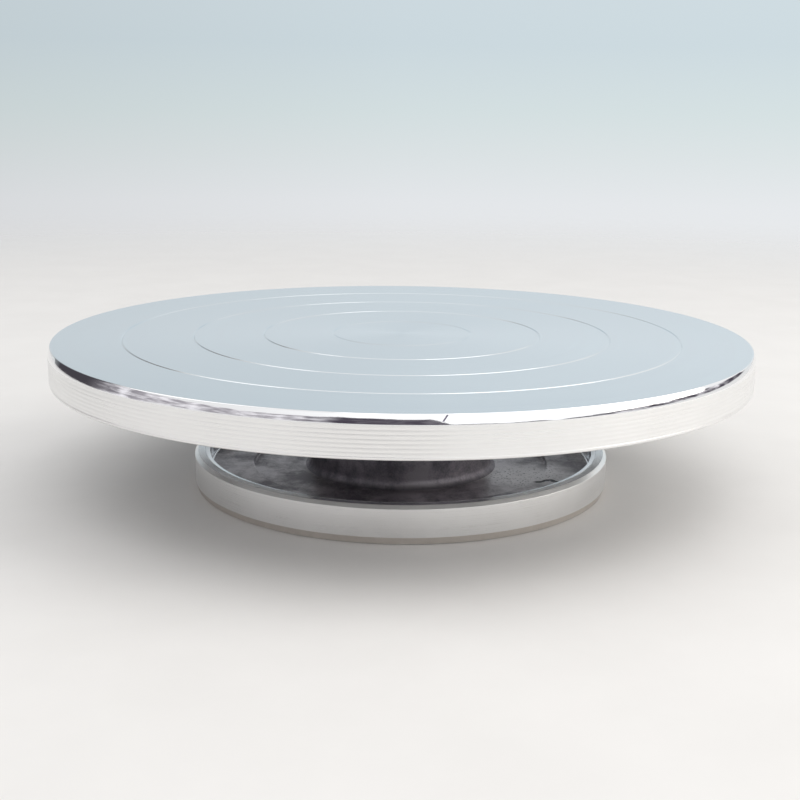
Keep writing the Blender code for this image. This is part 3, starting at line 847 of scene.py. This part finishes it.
def build_base():
    rows = rounded(base_points(), closed=True)
    finishes = [
        MACHINED_RIM, RIM_LAND, RIM_INSIDE, BASE_CAST, PEDESTAL_PAINTED_SHADE, FOOT_PAINTED_SHADE, MACHINED_FACE]
    mesh = lathe(
        "base_casting_turned", rows, finishes, LARGE_COLUMNS, closed=True,
        pick=lambda band: base_finish(*rows[band]))
    smooth(mesh)
    base = add_object("base_casting_turned", mesh)
    pockets = [
        hole_tool(PAD_RADIUS + GAP, PAD_TOP + GAP, BASE_BOTTOM - 1.4, at)
        for at in on_circle(PAD_CIRCLE, PAD_COUNT, math.pi / PAD_COUNT)]
    screw_holes = [
        hole_tool(COVER_SCREW[1] + GAP, COVER_SCREW_HOLE_TOP, RECESS_TOP - 1.0, at)
        for at in on_circle(COVER_SCREW_CIRCLE, SCREW_COUNT)]
    cut(base, pockets + screw_holes)
    stand_in(base, "base_casting")


build_head()
build_base()


# ---------------------------------------------------------------- spindle, bearings and fittings

def centre_of(name):
    low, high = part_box(name)
    return ((low.x + high.x) / 2 / MM, (low.y + high.y) / 2 / MM)


def turned_piece(replaced, points, finish, closed=True, columns=MEDIUM_COLUMNS, tools=(), at=(0, 0)):
    """A finely turned stand-in for a node, about the vertical line through a place."""
    name = replaced + "_fine"
    mesh = lathe(name, rounded(points, closed), [finish], columns, closed)
    smooth(mesh)
    piece = add_object(name, mesh)
    piece.location = (at[0] * MM, at[1] * MM, 0)
    bpy.context.view_layer.update()
    if tools:
        cut(piece, tools)
    return stand_in(piece, replaced)


def prism(sides, width, low, high, at):
    """An upright prism used as a cutting tool."""
    mesh = bpy.data.meshes.new("tool")
    work = bmesh.new()
    bmesh.ops.create_cone(
        work, cap_ends=True, segments=sides, radius1=width / 2 * MM, radius2=width / 2 * MM,
        depth=(high - low) * MM)
    work.to_mesh(mesh)
    work.free()
    tool = add_object("tool", mesh)
    tool.location = (at[0] * MM, at[1] * MM, (low + high) / 2 * MM)
    return tool


def block(size, at, angle):
    """A box used as a cutting tool, set out along x and then turned about the vertical axis."""
    mesh = bpy.data.meshes.new("tool")
    work = bmesh.new()
    bmesh.ops.create_cube(work, size=MM, matrix=Matrix.Diagonal((*size, 1.0)))
    work.to_mesh(mesh)
    work.free()
    tool = add_object("tool", mesh)
    tool.matrix_world = Matrix.Rotation(angle, 4, "Z") @ Matrix.Translation(Vector(at) * MM)
    return tool


def thread(radius, top, bottom, pitch, depth):
    """Points that stand for a thread: a groove at every pitch, without its slant."""
    rows = []
    for turn in range(int((top - bottom) / pitch)):
        start = top - turn * pitch
        rows += [(radius, start), (radius, start - 0.25 * pitch), (radius - depth, start - 0.6 * pitch)]
    return rows


def add_screw(replaced, head_radius, shank_radius, socket_width):
    """A countersunk socket screw, its flat face looking down."""
    face, tip = bottom_mm(replaced), top_mm(replaced)
    shank_start = face + head_radius - shank_radius
    at = centre_of(replaced)
    points = [
        (0, tip),
        (shank_radius - 0.4, tip, 0.2),
        *thread(shank_radius, tip - 0.4, shank_start + 0.8, pitch=0.8, depth=0.3),
        (shank_radius, shank_start, 0.2),
        (head_radius, face + 0.25, 0.1),
        (head_radius, face, 0.1),
        (0, face),
    ]
    socket = prism(6, socket_width, face - 1, face + 0.6 * socket_width, at)
    turned_piece(
        replaced, points, SCREW_STEEL, closed=False, columns=SMALL_COLUMNS, tools=[socket], at=at)


def countersink_tool(head_radius, shank_radius, face, top, at):
    """The hole for such a screw, a little wider than the screw all round."""
    rows = [
        (0, top),
        (shank_radius + GAP, top),
        (shank_radius + GAP, face + head_radius - shank_radius),
        (head_radius + GAP, face),
        (head_radius + GAP, face - 1),
        (0, face - 1),
    ]
    return tool_rod(rows, at)


def build_spindle():
    flange_bottom = FLANGE_TOP - FLANGE_THICKNESS
    journal = BEARING_BORE - GAP
    collar_bottom = top_mm("upper_bearing_inner_ring") + GAP
    thread_top = bottom_mm("lower_bearing_inner_ring")
    centre_drill = 2.4
    points = [
        (0, FLANGE_TOP),
        (FLANGE_RADIUS, FLANGE_TOP, 0.6),
        (FLANGE_RADIUS, flange_bottom, 0.3),
        (COLLAR_RADIUS, flange_bottom, 0.3),
        (COLLAR_RADIUS, collar_bottom, 0.2),
        (journal, collar_bottom, 0.2),
        (journal, thread_top + 0.5),
        *thread(journal, thread_top, SPINDLE_BOTTOM + 1.2, pitch=1.0, depth=0.35),
        (journal - 0.8, SPINDLE_BOTTOM, 0.2),
        (centre_drill, SPINDLE_BOTTOM, 0.2),
        (0.25 * centre_drill, SPINDLE_BOTTOM + 2.6),
        (0, SPINDLE_BOTTOM + 3.0),
    ]
    screws = [f"spindle_screw_{index + 1}" for index in range(SCREW_COUNT)]
    tools = [
        countersink_tool(*FLANGE_SCREW, flange_bottom, FLANGE_TOP + 1, centre_of(screw))
        for screw in screws]
    turned_piece("spindle", points, SPINDLE_STEEL, closed=False, tools=tools)
    for screw in screws:
        add_screw(screw, *FLANGE_SCREW, socket_width=3.4)


def build_cover():
    top, bottom = top_mm("bottom_cover"), bottom_mm("bottom_cover")
    radius = radius_mm("bottom_cover")
    points = [(0, top), (radius, top, 0.35), (radius, bottom, 0.35), (0, bottom)]
    screws = [f"cover_screw_{index + 1}" for index in range(SCREW_COUNT)]
    tools = [
        countersink_tool(*COVER_SCREW, bottom, top + 1, centre_of(screw)) for screw in screws]
    turned_piece("bottom_cover", points, ZINC_PLATE, closed=False, tools=tools)
    for screw in screws:
        add_screw(screw, *COVER_SCREW, socket_width=2.4)


def build_pads():
    """Rubber pads with a rounded foot and one moulded groove in the face they stand on."""
    groove, groove_depth = 4.0, 0.3
    points = [
        (0, PAD_TOP),
        (PAD_RADIUS, PAD_TOP, 0.15),
        (PAD_RADIUS, 0, 0.35),
        (groove + 0.6, 0, 0.1),
        (groove + 0.3, groove_depth, 0.1),
        (groove - 0.3, groove_depth, 0.1),
        (groove - 0.6, 0, 0.1),
        (0, 0),
    ]
    for index in range(PAD_COUNT):
        name = f"foot_pad_{index + 1}"
        turned_piece(
            name, points, PAD_RUBBER, closed=False, columns=PAD_COLUMNS, at=centre_of(name))


def build_ring(name, inner, finish, corner=0.25, tools=()):
    """A plain ring between the node's own top, bottom and outer radius."""
    top, bottom, outer = top_mm(name), bottom_mm(name), radius_mm(name)
    points = [
        (outer, top, corner), (outer, bottom, corner), (inner, bottom, corner), (inner, top, corner)]
    return turned_piece(name, points, finish, tools=tools)


def middle_mm(name):
    return (top_mm(name) + bottom_mm(name)) / 2


def notch_tools(count, size, radius, height):
    """Blocks that cut notches into a ring's outside."""
    return [block(size, (radius, 0, height), math.tau * index / count) for index in range(count)]


def build_fittings():
    build_ring("spacer_sleeve", BEARING_BORE, SPINDLE_STEEL)
    washer, nut, ring = "lock_washer", "lock_nut", "retaining_ring"
    notches = notch_tools(8, (3, 3.4, 6), radius_mm(washer), middle_mm(washer))
    build_ring(washer, BEARING_BORE, ZINC_PLATE, 0.15, notches)
    slots = notch_tools(4, (4, 4, 20), radius_mm(nut), SPINDLE_BOTTOM)
    build_ring(nut, BEARING_BORE, SPRING_STEEL, 0.5, slots)
    gap = block((12, 7, 8), (radius_mm(ring) + GAP, 0, middle_mm(ring)), math.pi / 4)
    build_ring(ring, RETAINING_RING_INSIDE, SPRING_STEEL, 0.15, [gap])


def race_arc(shoulder, middle):
    """The groove the balls run in: up the outer ring's side, down the inner ring's."""
    pieces = 14
    reach = shoulder - BEARING_PITCH
    half = math.acos(abs(reach) / RACE_RADIUS)
    facing = 0.0 if reach > 0 else math.pi
    turns = [facing - half + 2 * half * step / pieces for step in range(pieces + 1)]
    return [
        (BEARING_PITCH + RACE_RADIUS * math.cos(turn), middle + RACE_RADIUS * math.sin(turn))
        for turn in turns]


def build_bearing(name):
    outer, inner = name + "_outer_ring", name + "_inner_ring"
    top, bottom, middle = top_mm(outer), bottom_mm(outer), middle_mm(outer)
    turned_piece(outer, [
        (BEARING_OUTER, top, 0.8),
        (BEARING_OUTER, bottom, 0.8),
        (SHIELD_SEAT, bottom, 0.1),
        (SHIELD_SEAT, bottom + SHIELD_RECESS, 0.1),
        (OUTER_SHOULDER, bottom + SHIELD_RECESS, 0.1),
        *race_arc(OUTER_SHOULDER, middle),
        (OUTER_SHOULDER, top - SHIELD_RECESS, 0.1),
        (SHIELD_SEAT, top - SHIELD_RECESS, 0.1),
        (SHIELD_SEAT, top, 0.1),
    ], BEARING_STEEL)
    turned_piece(inner, [
        (INNER_SHOULDER, top, 0.2),
        *race_arc(INNER_SHOULDER, middle),
        (INNER_SHOULDER, bottom, 0.2),
        (BEARING_BORE, bottom, 0.6),
        (BEARING_BORE, top, 0.6),
    ], BEARING_STEEL)
    for side in ("bottom", "top"):
        build_ring(f"{name}_{side}_shield", INNER_SHOULDER + GAP, SHIELD_STEEL, 0.12)
    build_cage(name, middle)


def sphere(name, radius, finish=None):
    """A ball's mesh, without a finish where it is a cutting tool."""
    mesh = bpy.data.meshes.new(name)
    work = bmesh.new()
    bmesh.ops.create_icosphere(work, subdivisions=4, radius=radius * MM)
    work.to_mesh(mesh)
    work.free()
    mesh.shade_smooth()
    if finish:
        mesh.materials.append(finish)
    return mesh


def build_cage(name, middle):
    """The balls of a bearing, and a ring with a pocket round each of them."""
    ball_shape = sphere(name + "_ball", BALL_RADIUS, BEARING_STEEL)
    pocket_shape = sphere("pocket", BALL_RADIUS + GAP)
    pockets = []
    for index in range(BALL_COUNT):
        node_name = f"{name}_ball_{index + 1}"
        at = Vector((*centre_of(node_name), middle)) * MM
        ball = add_object(node_name + "_fine", ball_shape)
        ball.location = at
        stand_in(ball, node_name)
        pocket = add_object("tool", pocket_shape)
        pocket.location = at
        pockets.append(pocket)
    build_ring(name + "_cage", CAGE_INSIDE, CAGE_NYLON, 0.2, pockets)


build_spindle()
build_cover()
build_pads()
build_fittings()
build_bearing("upper_bearing")
build_bearing("lower_bearing")


# ---------------------------------------------------------------- stage

FLOOR_HALF = 2.5                # half the side of the paper, in metres
FADE_START, FADE_END = 550.0, 1500.0
ROOM_WHITE = (0.98, 0.98, 0.98)
GROUND_GREY = (0.80, 0.80, 0.79)
PAINTWORK = (0.92, 0.90, 0.93)
DARK_WOOD = (0.36, 0.34, 0.37)


def paper_finish():
    """Pale paper that fades into the backdrop a good way out.

    It can be seen through from below, and is open where the base hides it, so that the underside
    still shows.
    """
    finish = Finish("floor_paper", metallic=0.0)
    tree = finish.tree
    fibres = finish.grain(0.02, 4.0)
    finish.set("Base Color", ramp(
        tree, fibres, (0.35, (0.775, 0.762, 0.748)), (0.65, (0.795, 0.782, 0.768))))
    finish.set("Roughness", 0.75)
    finish.set("Specular IOR Level", 0.2)
    far = span(tree, finish.radius, FADE_START, FADE_END, interpolation_type="SMOOTHSTEP")
    below = node(tree, "NewGeometry").outputs["Backfacing"]
    hidden = calc(tree, "LESS_THAN", finish.radius, BASE_RADIUS - 2.5)
    away = calc(tree, "MAXIMUM", calc(tree, "MAXIMUM", far, below), hidden)
    clear = node(tree, "BsdfTransparent").outputs[0]
    fade = node(tree, "MixShader", {0: away, 1: finish.shader.outputs[0], 2: clear})
    tree.links.new(fade.outputs[0], tree.nodes["Material Output"].inputs["Surface"])
    return finish.material


def build_floor():
    mesh = bpy.data.meshes.new("floor")
    work = bmesh.new()
    bmesh.ops.create_grid(work, x_segments=2, y_segments=2, size=FLOOR_HALF)
    work.to_mesh(mesh)
    work.free()
    mesh.materials.append(paper_finish())
    add_object("floor", mesh)


def backdrop_colour(tree, x, z):
    """The paper behind: white low down, then a soft blue, a little brighter to the right."""
    up = ramp(
        tree, span(tree, z, -0.2, 0.8),
        (0.0, (0.80, 0.80, 0.80)), (0.07, (0.791, 0.799, 0.807)), (0.13, (0.768, 0.79, 0.815)),
        (0.17, (0.70, 0.753, 0.768)), (0.20, (0.651, 0.730, 0.745)), (0.25, (0.597, 0.686, 0.730)),
        (0.30, (0.610, 0.695, 0.740)), (0.36, (0.745, 0.79, 0.825)), (0.44, (0.62, 0.69, 0.74)),
        (0.52, (0.50, 0.605, 0.67)), (0.75, (0.70, 0.77, 0.81)), (1.0, (0.95, 0.95, 0.95)))
    sideways = ramp(
        tree, span(tree, x, -0.4, 0.4), (0.0, (0.87, 0.865, 0.86)), (0.5, 1.0), (1.0, (1.05, 1.05, 1.045)))
    inputs = {0: 1.0, 6: up, 7: sideways}
    return node(tree, "Mix", inputs, data_type="RGBA", blend_type="MULTIPLY").outputs[2]


def furniture_colour(tree, direction, around):
    """Dark shapes with paler patches, which are left out of the darkest stretches."""
    patches = span(tree, noise(tree, direction, 8.0, 5.0, 0.6), 0.42, 0.62)
    mottled = ramp(
        tree, around, (0.20, 0.0), (0.24, 1.0), (0.42, 1.0), (0.45, 0.1), (0.66, 0.2), (0.70, 1.0),
        (0.82, 1.0), (0.86, 0.0))
    gloom = ramp(
        tree, around, (0.19, (0.06, 0.055, 0.065)), (0.26, DARK_WOOD), (0.41, DARK_WOOD),
        (0.44, (0.07, 0.06, 0.08)))
    return blend(tree, calc(tree, "MULTIPLY", patches, mottled), gloom, PAINTWORK)


def wall_colour(tree, around, z):
    """Walls that differ in brightness round the room, and the ceiling over them."""
    walls = ramp(
        tree, around, (0.12, 0.28), (0.135, 0.62), (0.24, 0.80), (0.36, 0.88), (0.43, 1.0),
        (0.47, 1.15), (0.66, 1.15), (0.75, 0.95), (0.88, 0.90))
    overhead = ramp(tree, around, (0.25, 0.68), (0.50, 0.88), (0.70, 0.92), (0.90, 0.80))
    overhead = blend(tree, span(tree, z, 0.86, 0.95), overhead, ROOM_WHITE)
    return blend(tree, span(tree, z, 0.55, 0.70), walls, overhead)


def room_colour(tree, direction, x, y, z):
    """The room round the camera, for the metal to reflect: furniture up to a ragged skyline,
    lit walls and ceiling above it, and the ground below.

    around runs from 0 to 1 to the right, with 0.5 straight behind the camera.
    """
    bearing = calc(tree, "ARCTAN2", x, calc(tree, "MULTIPLY", y, -1.0))
    around = span(tree, bearing, -math.pi, math.pi)
    skyline = ramp(
        tree, around, (0.0, 0.0), (0.11, 0.0), (0.13, 0.60), (0.21, 0.55), (0.24, 0.34),
        (0.42, 0.30), (0.45, 0.36), (0.525, 0.33), (0.54, 0.05), (0.66, 0.04), (0.70, 0.16),
        (0.80, 0.12), (0.86, 0.08), (0.88, 0.0))
    shapes = noise(tree, direction, 5.0, 4.0, 0.65)
    ragged = calc(tree, "MULTIPLY", calc(tree, "SUBTRACT", shapes, 0.5), 0.18)
    over = calc(tree, "SUBTRACT", calc(tree, "ADD", z, ragged), skyline)
    room = blend(
        tree, span(tree, over, -0.01, 0.015), furniture_colour(tree, direction, around),
        wall_colour(tree, around, z))
    lowered = ramp(tree, around, (0.11, 0.0), (0.13, 0.25), (0.24, 0.20), (0.28, 0.0))
    above_ground = span(tree, calc(tree, "ADD", z, lowered), 0.0, 0.02)
    return blend(tree, above_ground, GROUND_GREY, room)


def build_world():
    """The backdrop, which is all that the camera sees, and the room in the reflections."""
    world = bpy.data.worlds.new("studio")
    bpy.context.scene.world = world
    world.use_nodes = True
    tree = world.node_tree
    background = tree.nodes["Background"]
    direction = node(tree, "TexCoord").outputs["Generated"]
    x, y, z = node(tree, "SeparateXYZ", {0: direction}).outputs
    backdrop = backdrop_colour(tree, x, z)
    room = room_colour(tree, direction, x, y, z)
    reflected = blend(tree, span(tree, y, 0.68, 0.90), room, backdrop)
    camera_ray = node(tree, "LightPath").outputs["Is Camera Ray"]
    tree.links.new(blend(tree, camera_ray, reflected, backdrop), background.inputs["Color"])
    background.inputs["Strength"].default_value = 1.0


def add_area(name, place, side, power, colour=(1.0, 1.0, 1.0)):
    """A square lamp that faces the middle of the turntable's foot."""
    data = bpy.data.lights.new(name, "AREA")
    data.shape = "RECTANGLE"
    data.size = data.size_y = side
    data.energy = power
    data.color = colour
    lamp = bpy.data.objects.new(name, data)
    bpy.context.scene.collection.objects.link(lamp)
    lamp.location = place
    lamp.rotation_euler = (-Vector(place)).to_track_quat("-Z", "Y").to_euler()


def build_lights():
    add_area("overhead", (0.6, 0.0, 1.2), 0.9, 2.0, (1.0, 0.99, 0.98))
    add_area("front", (0.0, -0.8, 1.2), 0.7, 1.6)
    add_area("window", (1.2, -0.2, 0.7), 1.1, 6.0, (1.0, 0.95, 0.88))
    add_area("fill", (-0.9, 0.0, 1.0), 0.9, 1.8)


CAMERA_PLACE = Vector((0.0, -0.53417, 0.16063))
CAMERA_AIM = Vector((0.0, 0.0, 0.03075))
CAMERA_ROLL = math.radians(0.64)


def build_camera():
    """A low view of the whole turntable from the front, a little over half a metre away."""
    data = bpy.data.cameras.new("camera")
    data.lens = 55.54
    data.sensor_width = 36.0
    data.shift_x = -0.0013
    data.shift_y = 0.0136
    data.clip_start = 0.01
    camera = bpy.data.objects.new("camera", data)
    bpy.context.scene.collection.objects.link(camera)
    look = (CAMERA_AIM - CAMERA_PLACE).to_track_quat("-Z", "Y").to_matrix().to_4x4()
    roll = Matrix.Rotation(CAMERA_ROLL, 4, "Z")
    camera.matrix_world = Matrix.Translation(CAMERA_PLACE) @ look @ roll
    bpy.context.scene.camera = camera


build_floor()
build_world()
build_lights()
build_camera()
bpy.context.scene.view_settings.view_transform = "Standard"
